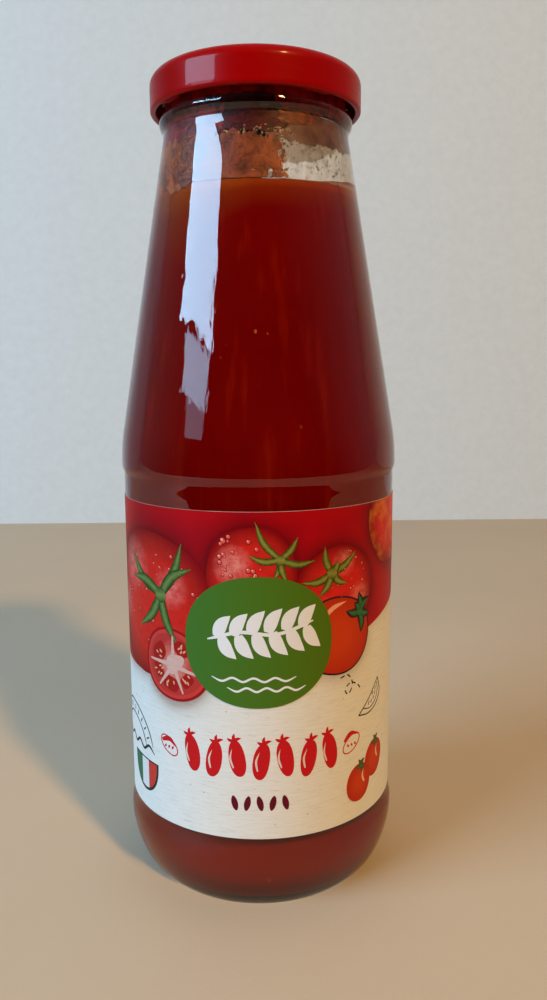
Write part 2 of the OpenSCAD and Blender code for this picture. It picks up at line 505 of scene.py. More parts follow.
def leaf_paint(name, dark, light):
    """Green blades with a light middle and dark edges. own.x runs along the blade and own.y across it."""
    paint = Paint(name, Roughness=0.45, Specular_IOR_Level=0.12)
    across = paint.math("ABSOLUTE", paint.axis(paint.place((1, 1, 1), "own"), "Y"))
    grain = paint.noise(on_label(paint), 9.0, 4, 0.65)
    level = paint.math("ADD", paint.math("MULTIPLY", across, 0.75), paint.math("MULTIPLY", grain, 0.6))
    middle = tuple((a + b) / 2 for a, b in zip(dark, light))
    return printed(paint, paint.ramp(level, (0.25, light), (0.62, middle), (0.95, dark)), 0.2)


def flat_ink(name, colour, variation=0.12):
    """One printed colour, with the unevenness of ink on paper fibres."""
    paint = Paint(name, Roughness=PRINT_ROUGH, Specular_IOR_Level=PRINT_SHINE)
    darker = tuple(c * (1 - variation) for c in colour)
    relief = paper_relief(paint, on_label(paint))
    return printed(paint, paint.ramp(relief, (0.45, darker), (0.8, colour)))


# ---------------------------------------------------------------- print on the label

PRINT_R = LABEL_R
LAYER = 0.02
SINK = 0.04
# Bare margin of the paper along the edges of the print
LABEL_EDGE = 0.05


def wrap(s, z, lift):
    """The point on the label at distance s round it from its front, height z, lifted by so many layers."""
    return at(s / PRINT_R, PRINT_R + lift * LAYER, z)


def outline_area(points):
    return sum(a[0] * b[1] - b[0] * a[1] for a, b in zip(points, points[1:] + points[:1])) / 2


# The two sides of a band that is drawn along a path
Strip = namedtuple("Strip", "left right")


def flat_shape(shape):
    """A flat mesh of a strip or of the inside of an outline."""
    bm = bmesh.new()
    if isinstance(shape, Strip):
        left, right = [[bm.verts.new((s, z, 0)) for s, z in side] for side in shape]
        for i in range(len(left) - 1):
            bm.faces.new([right[i], right[i + 1], left[i + 1], left[i]])
        return bm
    points = list(shape) if outline_area(shape) > 0 else shape[::-1]
    bm.faces.new([bm.verts.new((s, z, 0)) for s, z in points])
    bmesh.ops.triangulate(bm, faces=bm.faces, ngon_method="EAR_CLIP")
    return bm


def cut_flat(shape):
    """The flat mesh of a shape, cut at the label's columns and at its top and bottom edges."""
    bm = flat_shape(shape)
    step = COLUMN * PRINT_R
    low, high = min(v.co.x for v in bm.verts), max(v.co.x for v in bm.verts)
    for k in range(ceil(low / step), floor(high / step) + 1):
        cut(bm, (k * step, 0, 0), (1, 0, 0))
    for z, up in ((LABEL_Z1 - LABEL_EDGE, 1), (LABEL_Z0 + LABEL_EDGE, -1)):
        cut(bm, (0, z, 0), (0, up, 0), clear_outer=True)
    bmesh.ops.remove_doubles(bm, verts=bm.verts, dist=1e-4)
    bm.normal_update()
    return bm


def ink(name, shapes, material, lift, shade=None, sink=SINK):
    """Thin closed layers of ink on the label, joined into one piece.

    shapes are outlines, or (outline, own) or (outline, own, extra lift), where own maps (s, z) to the shape's
    own plane.
    """
    verts, faces, normals, own_values, flat_values, shades = [], [], [], [], [], []
    for shape in shapes:
        outline, own, *extra = shape if isinstance(shape, tuple) else (shape, None)
        height = lift + sum(extra)
        bm = outline if isinstance(outline, bmesh.types.BMesh) else cut_flat(outline)
        bm.verts.index_update()
        base, count = len(verts), len(bm.verts)
        for sunk in (False, True):
            for v in bm.verts:
                s, z = v.co.x, v.co.y
                verts.append(at(s / PRINT_R, PRINT_R - sink, z) if sunk else wrap(s, z, height))
                own_values.append(own(s, z) if own else (0, 0, 0))
                flat_values.append((s * MM, z * MM, 0))
                shades.append(shade(s, z) if shade else 0)
        border = {frozenset(v.index for v in e.verts) for e in bm.edges if len(e.link_faces) == 1}
        for f in bm.faces:
            ids = [v.index for v in f.verts]
            if f.normal.z < 0:
                ids.reverse()
            faces.append([base + i for i in ids])
            normals.append([radial(verts[base + i]) for i in ids])
            faces.append([base + count + i for i in reversed(ids)])
            normals.append([-radial(verts[base + i]) for i in reversed(ids)])
            for a, b in zip(ids, ids[1:] + ids[:1]):
                if frozenset((a, b)) in border:
                    corners = [base + a, base + count + a, base + count + b, base + b]
                    p, q, r = (verts[i] for i in corners[:3])
                    faces.append(corners)
                    normals.append([(q - p).cross(r - q).normalized()] * 4)
        bm.free()
    mesh = bpy.data.meshes.new(name)
    mesh.from_pydata(verts, [], faces)
    fill_attribute(mesh, "own", "FLOAT_VECTOR", "vector", own_values)
    fill_attribute(mesh, "flat", "FLOAT_VECTOR", "vector", flat_values)
    fill_attribute(mesh, "shade", "FLOAT", "value", shades)
    mesh.shade_smooth()
    mesh.normals_split_custom_set([n for face in normals for n in face])
    piece = link(name, mesh, material)
    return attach(piece, "root")


def radial(point):
    return Vector((point.x, point.y, 0)).normalized()


def fill_attribute(mesh, name, kind, field, values):
    """Stores one value for each point of a mesh."""
    attribute = mesh.attributes.new(name, kind, "POINT")
    for item, value in zip(attribute.data, values):
        setattr(item, field, value)


def oval(centre, rx, rz, tilt=0.0, power=2.0, lobes=0, depth=0.0, phase=0.0, steps=80):
    """A closed rounded outline: ellipse, superellipse or lobed ellipse."""
    points = []
    c, s = cos(radians(tilt)), sin(radians(tilt))
    for i in range(steps):
        a = 2 * pi * i / steps
        swell = 1 + depth * cos(lobes * a + phase)
        x = rx * swell * copysign(abs(cos(a)) ** (2 / power), cos(a))
        y = rz * swell * copysign(abs(sin(a)) ** (2 / power), sin(a))
        points.append((centre[0] + x * c - y * s, centre[1] + x * s + y * c))
    return points


def around(centre, rx, rz, angle):
    """A point on an ellipse."""
    return (centre[0] + rx * cos(angle), centre[1] + rz * sin(angle))


def own_plane(centre, rx, rz, tilt=0.0):
    """Maps label coordinates to a shape's own plane, in which its outline lies about 1 from the centre."""
    c, s = cos(radians(tilt)), sin(radians(tilt))

    def place(x, z):
        dx, dz = x - centre[0], z - centre[1]
        return ((dx * c + dz * s) / rx, (dz * c - dx * s) / rz, 0)
    return place


def smooth_path(points, per_stretch=8):
    """A Catmull-Rom curve through a few points."""
    shares = [i / per_stretch for i in range(per_stretch)]
    if len(points) == 2:
        (x0, z0), (x1, z1) = points
        return [(x0 + (x1 - x0) * t, z0 + (z1 - z0) * t) for t in shares + [1.0]]
    first, last = [tuple(2 * a - b for a, b in zip(end, near))
                   for end, near in ((points[0], points[1]), (points[-1], points[-2]))]
    ends = [first, *points, last]
    out = []
    for stretch in zip(ends, ends[1:], ends[2:], ends[3:]):
        for t in shares:
            out.append(tuple(0.5 * (2 * b + (c - a) * t + (2 * a - 5 * b + 4 * c - d) * t * t
                                    + (3 * b - a - 3 * c + d) * t ** 3) for a, b, c, d in zip(*stretch)))
    return out + [points[-1]]


def ribbon(path, width_at):
    """A band along a path, with half width width_at(t), and its own plane."""
    left, right = [], []
    last = len(path) - 1
    for i, (x, z) in enumerate(path):
        a, b = path[max(i - 1, 0)], path[min(i + 1, last)]
        dx, dz = b[0] - a[0], b[1] - a[1]
        length = hypot(dx, dz) or 1
        half = max(width_at(i / last), 0.015)
        left.append((x - dz / length * half, z + dx / length * half))
        right.append((x + dz / length * half, z - dx / length * half))

    def own(x, z):
        near = min(range(len(path)), key=lambda i: (path[i][0] - x) ** 2 + (path[i][1] - z) ** 2)
        a, b = path[max(near - 1, 0)], path[min(near + 1, last)]
        length = hypot(b[0] - a[0], b[1] - a[1]) or 1
        side = ((b[0] - a[0]) * (z - path[near][1]) - (b[1] - a[1]) * (x - path[near][0])) / length
        return (near / last, side / max(width_at(near / last), 0.05), 0)
    return Strip(left, right), own


def stroke(points, width, least=0.35):
    """A drawn line of even width, whose ends narrow to a share of it."""
    return ribbon(smooth_path(points), lambda t: width / 2 * min(1, least + 6 * min(t, 1 - t)))


def dashes(points, width, on=1.3, off=0.9):
    """The strokes of a dashed line along a smooth path."""
    path = smooth_path(points, 14)
    out, run, travelled = [], [path[0]], 0.0
    drawing = True
    for a, b in zip(path, path[1:]):
        travelled += dist(a, b)
        if drawing:
            run.append(b)
        if travelled > (on if drawing else off):
            if drawing and len(run) > 1:
                out.append(ribbon(run, lambda t: width / 2))
            drawing, travelled, run = not drawing, 0.0, [b]
    return out


def blade(root, tip, half_width, bend):
    """A pointed sepal or leaf from root to tip, bent sideways by bend."""
    dx, dz = tip[0] - root[0], tip[1] - root[1]
    middle = (root[0] + dx / 2 - dz * bend, root[1] + dz / 2 + dx * bend)
    path = smooth_path([root, middle, tip], 9)
    return ribbon(path, lambda t: half_width * 1.45 * (0.35 + 1.6 * t) * (1 - t) ** 1.05)


def calyx(name, centre, tips, half_width, material, lift, bends):
    """A green star of sepals round a small boss."""
    shapes = []
    for i, (x, z) in enumerate(tips):
        tip = (centre[0] + x, centre[1] + z)
        shapes.append((*blade(centre, tip, half_width, bends[i % len(bends)]), i * 0.5))
    boss = oval(centre, half_width * 1.05, half_width * 1.25, 20, steps=24)
    shapes.append((boss, own_plane(centre, half_width * 1.3, half_width * 1.5), len(tips) * 0.5))
    return ink(name, shapes, material, lift)


def dew(name, centre, rx, rz, count, size, materials, lift, seed):
    """Printed water drops on a fruit: a dark ring, a body and a bright point each."""
    rng = random.Random(seed)
    dark, body, bright = [], [], []
    for _ in range(count):
        a, d = rng.uniform(0, 2 * pi), sqrt(rng.uniform(0.02, 0.75))
        x, z = around(centre, rx * d, rz * d, a)
        r = size * rng.uniform(0.4, 1.0)
        dark.append(oval((x, z - 0.08 * r), r, r * 1.05, steps=14))
        body.append(oval((x, z), r * 0.78, r * 0.8, steps=14))
        bright.append(oval((x - 0.3 * r, z + 0.35 * r), r * 0.26, r * 0.22, steps=8))
    layers = zip(("rings", "drops", "glints"), (dark, body, bright), materials)
    for i, (part, shapes, material) in enumerate(layers):
        ink(f"{name}_{part}", shapes, material, lift + i * 0.5)


# Fruit on the label: name, centre, radii, tilt, highlights in its own plane, warmth
FRUIT = [
    ("left", (-32.5, 82.0), 20.5, 19.5, 8, [(-0.35, 0.55, 0.42, 0.42), (0.42, 0.22, 0.30, 0.45),
                                            (-0.85, 0.0, 0.32, 0.35), (0.30, -0.62, 0.36, 0.35)], 0.0),
    ("middle", (-2.3, 92.3), 11.5, 12.5, -10, [(-0.42, 0.15, 0.46, 0.70), (0.45, -0.35, 0.30, 0.4)], 0.0),
    ("right", (21.0, 87.0), 12.0, 11.7, 0, [(0.15, 0.62, 0.34, 0.5), (0.62, -0.20, 0.36, 0.45),
                                            (-0.35, -0.45, 0.40, 0.4)], 0.0),
    ("edge", (46.0, 103.0), 13.8, 12.3, 0, [(0.35, 0.1, 0.45, 0.3)], 0.6),
    ("side_a", (70.0, 88.0), 15.5, 15.0, 15, [(-0.4, 0.4, 0.45, 0.5)], 0.0),
    ("side_b", (98.0, 96.0), 14.0, 13.5, -12, [(0.3, 0.4, 0.40, 0.5)], 0.0),
    ("side_c", (-68.0, 96.0), 13.0, 12.6, 0, [(-0.3, 0.4, 0.42, 0.5)], 0.0),
    ("side_d", (-92.0, 86.0), 15.0, 14.4, 10, [(0.35, 0.3, 0.42, 0.5)], 0.0),
]


def field_edge(s):
    """Height of the red field's lower edge, a single wave round the label."""
    return 73.0 - 10.5 * cos((s + 35.0) / PRINT_R)


def fruit_shade(s, z):
    """How dark the red field is next to the fruit."""
    dark = 0.0
    for _, (x, y), rx, rz, _, _, _ in FRUIT:
        away = (hypot((s - x) / rx, (z - y) / rz) - 1) * min(rx, rz)
        dark = max(dark, exp(-max(away, 0) / 3.2))
    return 0.85 * dark


def paper_shade(s, z):
    """Soft shadow of the fruit and the halved tomato on the bare paper."""
    under = exp(-max(field_edge(s) - z, 0) / 2.2) * (0.7 if s < -12 else 0.25)
    half = (hypot((s + 24.0) / 10.6, (z - 66.4) / 9.8) - 1) * 10
    drawn = (hypot((s - 21.5) / 11.0, (z - 74.0) / 10.4) - 1) * 10
    return min(0.85, max(under, 0.75 * exp(-max(half, 0) / 1.8), 0.35 * exp(-max(drawn, 0) / 1.5)))


def band(name, low, high, material, lift, shade, half_turn, rows=60, sink=SINK):
    """A field of the label between two heights, as columns from one end of the label to the other."""
    bm = bmesh.new()
    step = COLUMN * PRINT_R
    most = floor(half_turn / step)
    grid = []
    for s in [-half_turn] + [k * step for k in range(-most, most + 1)] + [half_turn]:
        grid.append([bm.verts.new((s, z, 0)) for z in between(low(s), high(s), rows)])
    fill_grid(bm, grid)
    bm.normal_update()
    return ink(name, [bm], material, lift, shade, sink)


# ---------------------------------------------------------------- glass, contents and cap

# How far the top of the contents lies under their highest level
SETTLED = 1.0
# How far they cling above that level on the right-hand side
CLIMB = 2.4
THREAD_SWEEP = 52.0
THREAD_Z, THREAD_H = CAP_Z + 2.1, 1.6
LUG_SWEEP = 18.0
LUG_R = FINISH_R + 0.6


def smooth_step(x, low, high):
    """0 below low, 1 above high, and smooth between them. low may be the greater."""
    t = min(max((x - low) / (high - low), 0.0), 1.0)
    return t * t * (3 - 2 * t)


def ripple(angle, z, size, stretch, seed):
    """Smooth noise from -1 to 1 on the wall, stretched upwards."""
    x, y = sin(angle) * 38 / size, -cos(angle) * 38 / size
    return noise.noise(Vector((x, y + seed, z / (size * stretch))))


def outside():
    """The outside of the glass, from under the base's centre up to the lip."""
    finish = [(FINISH_R, BEAD_TOP + 0.3 * i) for i in range(1, 31)]
    return (dome(FOOT_R - FOOT_W, 0, PUNT_H) + heel_curve()
            + eased(HEEL_R, PANEL_Z - 5, PANEL_R, PANEL_Z) + eased(PANEL_R, PANEL_TOP, SHOULDER_R, SHOULDER_Z)
            + shoulder_arc(SHOULDER_R, (NECK_R, NECK_Z)) + eased(NECK_R, NECK_Z, BEAD_R, BEAD_TOP - 1.1)
            + [(BEAD_R - 0.05, BEAD_TOP - 0.5), (BEAD_R - 0.25, BEAD_TOP - 0.2), (BEAD_R - 0.8, BEAD_TOP)]
            + finish + arc((FINISH_R - LIP_ROUND, MOUTH_Z - LIP_ROUND), LIP_ROUND, 0, 90, 6))


def thread_height(angle, z):
    """How far the thread stands out of the finish."""
    turn = degrees(angle) % (360 / THREAD_STARTS)
    ends = smooth_step(turn, 0, 4) * smooth_step(turn, THREAD_SWEEP, THREAD_SWEEP - 4)
    rise = smooth_step(z, THREAD_Z - 0.1, THREAD_Z + 0.45)
    return THREAD_DEPTH * ends * rise * smooth_step(z, THREAD_Z + THREAD_H + 0.1, THREAD_Z + THREAD_H - 0.45)


def glass_push(angle, r, z, outer):
    """Threads, mould seams and the slight waviness of blown glass."""
    if not outer:
        return 0.10 * smooth_step(z, FILL_Z - 4, FILL_Z + 6) * ripple(angle, z, 9, 1.6, 40)
    if z > BEAD_TOP + 0.2:
        return thread_height(angle, z) if abs(r - FINISH_R) < 0.01 else 0.0
    free = smooth_step(z, HEEL_H, HEEL_H + 8) * smooth_step(z, BEAD_TOP, BEAD_TOP - 6)
    off_label = smooth_step(z, LABEL_Z1 + 1, LABEL_Z1 + 8)
    wavy = 0.05 * ripple(angle, z, 13, 3.5, 7) + 0.012 * ripple(angle, z, 4, 3, 19)
    seam = 0.10 * exp(-((abs(sin(angle)) - 1) / 0.00035) ** 2) if z > 3 else 0.0
    return free * off_label * wavy + seam * (off_label + (1 - free) * (z < LABEL_Z0))


def make_glass():
    outer = spaced(outside(), 2.1)
    lip = arc((MOUTH_R + LIP_ROUND, MOUTH_Z - LIP_ROUND), LIP_ROUND, 90, 180, 6)
    inner = spaced(lip[1:] + [(MOUTH_R, BEAD_TOP)] + inner_side()[::-1], 2.1)
    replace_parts(turned("bottle_glass", outer + inner, glass_paint(),
                       lambda angle, r, z, i: glass_push(angle, r, z, i < len(outer))), "bottle")


def make_passata():
    """The contents, which reach a little way into the wall, with a meniscus and a slightly uneven top."""
    level = FILL_Z - SETTLED
    wall = inner_side(INTO_WALL)
    side = [p for p in wall if p[1] < level - 0.2]
    wall_r = radius_at(wall, level)
    meniscus = [(wall_r - away, level - drop) for away, drop in ((0, 0), (0.35, 0.3), (0.9, 0.5), (2, 0.6))]
    rings = [((wall_r - 2) * (1 - i / 12), level - 0.6) for i in range(1, 13)]
    passata = turned("passata_fill", spaced(side + meniscus + rings, 2.4), passata_paint())
    for v in passata.data.vertices:
        from_wall = wall_r - hypot(v.co.x, v.co.y) / MM
        if v.co.z / MM < level - 1:
            continue
        angle = atan2(v.co.x, -v.co.y)
        swell = noise.noise(Vector(v.co) / MM / 6) * 0.5 * smooth_step(from_wall, 0.5, 5)
        turn = degrees(angle)
        right = smooth_step(turn, 25, 85) * smooth_step(turn, 170, 120)
        climb = CLIMB * right * smooth_step(from_wall, 2.5, 0.2)
        v.co.z += (swell + climb + 0.25 * ripple(angle, 0, 7, 1, 3)) * MM
        if from_wall < 0.1:
            inward = radius_at(wall, v.co.z / MM) / wall_r
            v.co.x *= inward
            v.co.y *= inward
    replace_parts(passata, "passata")


def cap_face(inset, steps=8):
    """Half the section of the cap's sheet: button, panel, raised ring, rounded edge and side."""
    floor_z = CAP_TOP - PANEL_DROP - inset
    button_z = floor_z + BUTTON_H
    return ([(0, button_z)] + eased(BUTTON_R - 1.2, button_z, BUTTON_R, floor_z, steps)
            + eased(CAP_PANEL_R - 1.2, floor_z, CAP_PANEL_R, CAP_TOP - inset, steps)
            + arc((CAP_R - CAP_ROUND, CAP_TOP - CAP_ROUND), CAP_ROUND - inset, 90, 0, 14))


def lug_push(angle, r, z, _):
    """Presses the rolled edge inwards at the lugs."""
    if r > CAP_R - CURL_R or z > CAP_Z + 2.2 * CURL_R:
        return 0.0
    turn = (degrees(angle) - THREAD_SWEEP / 2) % (360 / THREAD_STARTS)
    along = smooth_step(turn, 0, 3) * smooth_step(turn, LUG_SWEEP, LUG_SWEEP - 3)
    side = smooth_step(r, CAP_R - CURL_R, CAP_R - 2 * CURL_R)
    return -along * side * (CAP_R - 2 * CURL_R - LUG_R)


def make_cap():
    curl_z = CAP_Z + CURL_R
    curl = arc((CAP_R - CURL_R, curl_z), CURL_R, 0, -300, 24)
    inner = [(CAP_R - SHEET_T, curl_z + 0.9)] + cap_face(SHEET_T)[::-1]
    outline = spaced(cap_face(0) + [(CAP_R, curl_z)] + curl + inner, 0.9)
    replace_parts(turned("cap_metal", outline, lacquer_paint(), lug_push), "cap")


# Film on the inside of the headspace, the outermost last: name, colour, thickness, seed, and patches as
# angle from the front, height over the contents, half angle and half height
FILMS = [
    ("neck_film", (0.50, 0.006, 0.004), 0.3, 51, [(0, 21.0, 112, 4.8)]),
    ("middle_dark_film", (0.055, 0.002, 0.001), 0.3, 52, [(-10, 15.0, 30, 4.6)]),
    ("left_dark_film", (0.19, 0.008, 0.006), 0.3, 53, [(-66, 13.5, 44, 5.6)]),
    ("left_film", (0.27, 0.050, 0.006), 0.5, 12,
     [(-62, 4.2, 30, 6.6), (-84, 4.6, 18, 6.4), (-118, 5.6, 38, 7.6), (-150, 5.6, 22, 8.0)]),
    ("thick_film", (0.170, 0.031, 0.006), 0.55, 11, [(-20, 4.1, 34, 5.9), (25, 14.4, 12, 2.0)]),
    # Painted light: a pale film at the back of the neck that covers the inside of the cap, which lies in
    # shade there.
    ("back_film_painted_light", (0.50, 0.42, 0.36), 0.2, 71, [(170, 19.6, 78, 5.6)]),
]
# Film that the wall behind shows through
THIN_PATCHES = [(42, 11.6, 36, 3.7), (95, 15.6, 72, 3.4)]
HAZE_PATCHES = [(45, 4.0, 38, 6.0)]
# Drops and foam: count, and ranges of the angle, of the height over the contents and of the size
FRONT_DROPS = [(95, (12, 66), (0.6, 11.5), (0.12, 0.34)), (60, (-20, 25), (9.5, 14), (0.12, 0.36))]
BACK_DROPS = [(150, (95, 170), (0.6, 16.5), (0.15, 0.42))]
FOAM = [(70, (-22, 14), (-0.9, 0.5), (0.2, 0.5)), (45, (9, 17), (0, 11), (0.2, 0.5)),
        (60, (-24, 24), (9.5, 11.5), (0.18, 0.42))]


def cover(patches, angle, height, seed):
    """Positive where film covers the wall, with a bubbly edge."""
    most = -9.0
    for centre, middle, half_angle, half_height in patches:
        da = (degrees(angle) - centre + 180) % 360 - 180
        most = max(most, 1 - sqrt((da / half_angle) ** 4 + ((height - middle) / half_height) ** 4))
    lumps = ripple(angle, height, 3.2, 0.8, seed) + 0.6 * ripple(angle, height, 1.3, 0.9, seed + 5)
    submerged = smooth_step(height, -0.9, -1.5) * smooth_step(degrees(angle), -42, -30)
    return most + 0.5 * lumps - 3 * submerged


def film_sheet(patches, low, high, seed):
    """The part of the unrolled wall where cover() is positive, as points of angle, height and cover()."""
    bm = bmesh.new()
    rows = round(FILM_ROWS * (high - low))
    grid = []
    for angle in between(-pi, pi, FILM_COLUMNS):
        heights = between(low, high, rows)
        grid.append([bm.verts.new((angle, h, cover(patches, angle, h, seed))) for h in heights])
    fill_grid(bm, grid)
    bmesh.ops.triangulate(bm, faces=bm.faces)
    cut(bm, (0, 0, 0), (0, 0, 1), 1e-6, clear_inner=True)
    return bm


def make_film(name, patches, material, thickness, seed, into_wall=0.05):
    """Film as one closed skin on the inner wall, cut where cover() passes zero."""
    low = max(-4.0, min(middle - 1.3 * half for _, middle, _, half in patches))
    high = min(25.0, max(middle + 1.3 * half for _, middle, _, half in patches))
    bm = film_sheet(patches, low, high, seed)
    outer_side = bm.verts[:]
    own = set(outer_side)
    copied = bmesh.ops.duplicate(bm, geom=bm.verts[:] + bm.edges[:] + bm.faces[:])
    twin = {a: b for a, b in copied["vert_map"].items() if a in own}
    for edge in [e for e in bm.edges if len(e.link_faces) == 1 and all(v in twin for v in e.verts)]:
        a, b = edge.verts
        bm.faces.new([a, b, twin[b], twin[a]])
    wall = inner_side()
    for v in outer_side:
        angle, height, amount = v.co
        r = radius_at(wall, FILL_Z + height)
        lump = max(0.0, ripple(angle, height, 2.2, 1.0, seed + 9))
        depth = thickness * (0.2 + 0.8 * smooth_step(amount, 0, 0.35)) * (0.6 + 1.2 * lump)
        v.co = at(angle, r + into_wall + 0.18 * smooth_step(height, 0.5, -0.5), FILL_Z + height)
        twin[v].co = at(angle, r - depth, FILL_Z + height)
    solid(name, bm, material)


def add_dome(bm, angle, z, size, tall, wall, sides=10, up=3):
    """One drop: a low dome on the inside of the glass."""
    centre = at(angle, radius_at(wall, z) + 0.03, z)
    inward = Vector((-sin(angle), cos(angle), 0))
    side, height = Vector((cos(angle), sin(angle), 0)), Vector((0, 0, tall))
    rings = []
    for j in range(up):
        lift = pi / 2 * j / up
        ring = []
        for k in range(sides):
            turn = 2 * pi * k / sides
            flat = (side * cos(turn) + height * sin(turn)) * cos(lift) * size
            ring.append(bm.verts.new(centre + (flat + inward * 0.55 * size * sin(lift)) * MM))
        rings.append(ring)
    tip = bm.verts.new(centre + inward * 0.55 * size * MM)
    bm.faces.new(rings[0])
    for k in range(sides):
        n = (k + 1) % sides
        for low, high in zip(rings, rings[1:]):
            bm.faces.new([low[k], low[n], high[n], high[k]])
        bm.faces.new([rings[-1][k], rings[-1][n], tip])


def make_drops(name, material, spots, seed):
    """Small domes on the inside of the glass. spots are (count, angle range, height range, size range)."""
    rng = random.Random(seed)
    wall = inner_side()
    bm = bmesh.new()
    for count, angles, heights, sizes in spots:
        for _ in range(count):
            angle, z = radians(rng.uniform(*angles)), FILL_Z + rng.uniform(*heights)
            size = sizes[0] + (sizes[1] - sizes[0]) * rng.random() ** 2
            add_dome(bm, angle, z, size, rng.uniform(0.9, 1.5), wall)
    solid(name, bm, material)


def sheer(paint, colour, alpha, cloud):
    """The finished material of a film so thin that the wall behind shows through it."""
    paint.give("Base Color", colour)
    paint.give("Alpha", alpha)
    paint.bump(cloud, 0.5, 0.0004)
    return paint.material


def thin_film_paint():
    """Thin brown film, thicker in its dark places."""
    paint = Paint("thin_film", Roughness=0.35, Specular_IOR_Level=0.3)
    cloud = paint.noise(paint.place(), 260, 4, 0.6, 0.4)
    brown = paint.ramp(cloud, (0.3, (0.07, 0.014, 0.008)), (0.55, (0.15, 0.052, 0.026)),
                       (0.75, (0.26, 0.13, 0.08)))
    return sheer(paint, brown, paint.ramp(cloud, (0.3, 0.85), (0.7, 0.55)), cloud)


def haze_paint():
    """A dried splash: a pale haze with small dark specks of pulp."""
    paint = Paint("haze", Roughness=0.4, Specular_IOR_Level=0.3)
    where = paint.place((1, 1, 0.8))
    cloud = paint.noise(where, 260, 4, 0.6, 0.4)
    some = paint.ramp(paint.noise(where, 330, 2), (0.50, 0.0), (0.56, 1.0))
    specks = paint.math("MULTIPLY", paint.ramp(paint.cells(where, 720.0), (0.16, 1.0), (0.26, 0.0)), some)
    pale = paint.ramp(cloud, (0.3, (0.36, 0.33, 0.37)), (0.55, (0.50, 0.47, 0.52)),
                      (0.75, (0.66, 0.62, 0.68)))
    thin = paint.mix(specks, paint.ramp(cloud, (0.3, 0.42), (0.7, 0.20)), (0.8, 0.8, 0.8))
    return sheer(paint, paint.mix(specks, pale, (0.10, 0.045, 0.03)), thin, cloud)


def make_headspace():
    """Films, haze, drops and foam on the inside of the glass above the contents, each at its own depth."""
    for i, (name, colour, thickness, seed, patches) in enumerate(FILMS):
        make_film(name, patches, film_paint(name, colour), thickness, seed, 0.05 + 0.015 * i)
    make_film("thin_film", THIN_PATCHES, thin_film_paint(), 0.18, 31, 0.035)
    make_film("haze", HAZE_PATCHES, haze_paint(), 0.08, 81, 0.02)
    water = water_paint()
    make_drops("front_drops", water, FRONT_DROPS, 5)
    make_drops("foam_bubbles", film_paint("foam", (0.32, 0.16, 0.08)), FOAM, 8)
    make_drops("back_drops", water, BACK_DROPS, 6)


# ---------------------------------------------------------------- the label

def make_paper(half_turn):
    paper = band("label_paper", lambda s: LABEL_Z0, lambda s: LABEL_Z1, paper_paint(), 0, paper_shade,
                 half_turn, 76, PAPER_T)
    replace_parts(paper, "label")


def make_red_field(half_turn):
    band("red_field", field_edge, lambda s: LABEL_Z1 - LABEL_EDGE, red_field_paint(), 1, fruit_shade,
         half_turn - LABEL_EDGE)


# The sepals' tips from the calyx's centre, for one fruit each
LEFT_SEPALS = [(-14, 10), (7.5, 14.3), (10.3, 8), (-13.3, 2.8), (-9.8, -10), (5.9, -13)]
MIDDLE_SEPALS = [(-6.2, 9.6), (4.4, 5.5), (-8, 1.3), (8.9, -0.6), (-1.7, -4.8), (1.8, -5.9)]
RIGHT_SEPALS = [(-2.1, 7), (7.6, 4.7), (-8.5, -1.7), (4.7, -3.2), (-3.7, -5.5), (2.0, 3.0)]


def make_fruit():
    """The photographed tomatoes on the red field."""
    paints = {}
    for name, centre, rx, rz, tilt, glows, warm in FRUIT:
        shared = "side" if name.startswith("side") else name
        if shared not in paints:
            paints[shared] = fruit_paint(f"print_fruit_{shared}", glows, warm)
        lift = 3 if name in ("left", "right", "edge") else 2
        outline = oval(centre, rx, rz, tilt, 2.15, 5, 0.018, len(name))
        ink(f"fruit_{name}", [(outline, own_plane(centre, rx, rz, tilt))], paints[shared], lift)
    green = leaf_paint("print_sepal_green", (0.018, 0.055, 0.012), (0.16, 0.26, 0.06))
    olive = leaf_paint("print_sepal_olive", (0.035, 0.055, 0.004), (0.30, 0.30, 0.05))
    bends = (0.10, -0.08, 0.12, -0.12)
    calyx("sepals_left", (-28, 85.4), LEFT_SEPALS, 1.75, green, 4.5, bends)
    calyx("sepals_middle", (5.1, 96.4), MIDDLE_SEPALS, 1.1, olive, 4.5, bends)
    calyx("sepals_right", (18.9, 91.9), RIGHT_SEPALS, 1.3, olive, 4.5, bends)
    for i, (x, z, scale) in enumerate(((72, 94, 0.8), (95, 101, 0.7), (-66, 101, 0.65), (-90, 92, 0.8))):
        tips = [(a * scale * (-1) ** i, b * scale) for a, b in LEFT_SEPALS]
        calyx(f"sepals_side_{i}", (x, z), tips, 1.5 * scale, green, 4.5, bends)
    parts = (("ring", (0.20, 0.004, 0.004)), ("body", (0.80, 0.10, 0.08)), ("glint", (0.95, 0.72, 0.66)))
    inks = [flat_ink(f"print_drop_{part}", colour) for part, colour in parts]
    dew("dew_left", (-30, 84), 18, 15, 34, 0.60, inks, 4, 1)
    dew("dew_middle", (-5.5, 96), 7.0, 8, 26, 0.75, inks, 4, 2)
    dew("dew_right", (23.5, 91), 8, 7, 18, 0.50, inks, 4, 3)


def flesh_paint():
    """Cut flesh: pale and streaky in the middle, redder outwards."""
    paint = Paint("print_half_flesh", Roughness=PRINT_ROUGH, Specular_IOR_Level=PRINT_SHINE)
    own = paint.place((1, 1, 0), "own")
    streaks = paint.math("MULTIPLY", paint.noise(own, 3.5, 4, 0.6), 0.7)
    level = paint.math("ADD", paint.length(own), streaks)
    return printed(paint, paint.ramp(level, (0.30, (0.74, 0.42, 0.34)), (0.75, (0.62, 0.13, 0.10)),
                                     (1.0, (0.50, 0.035, 0.03))))


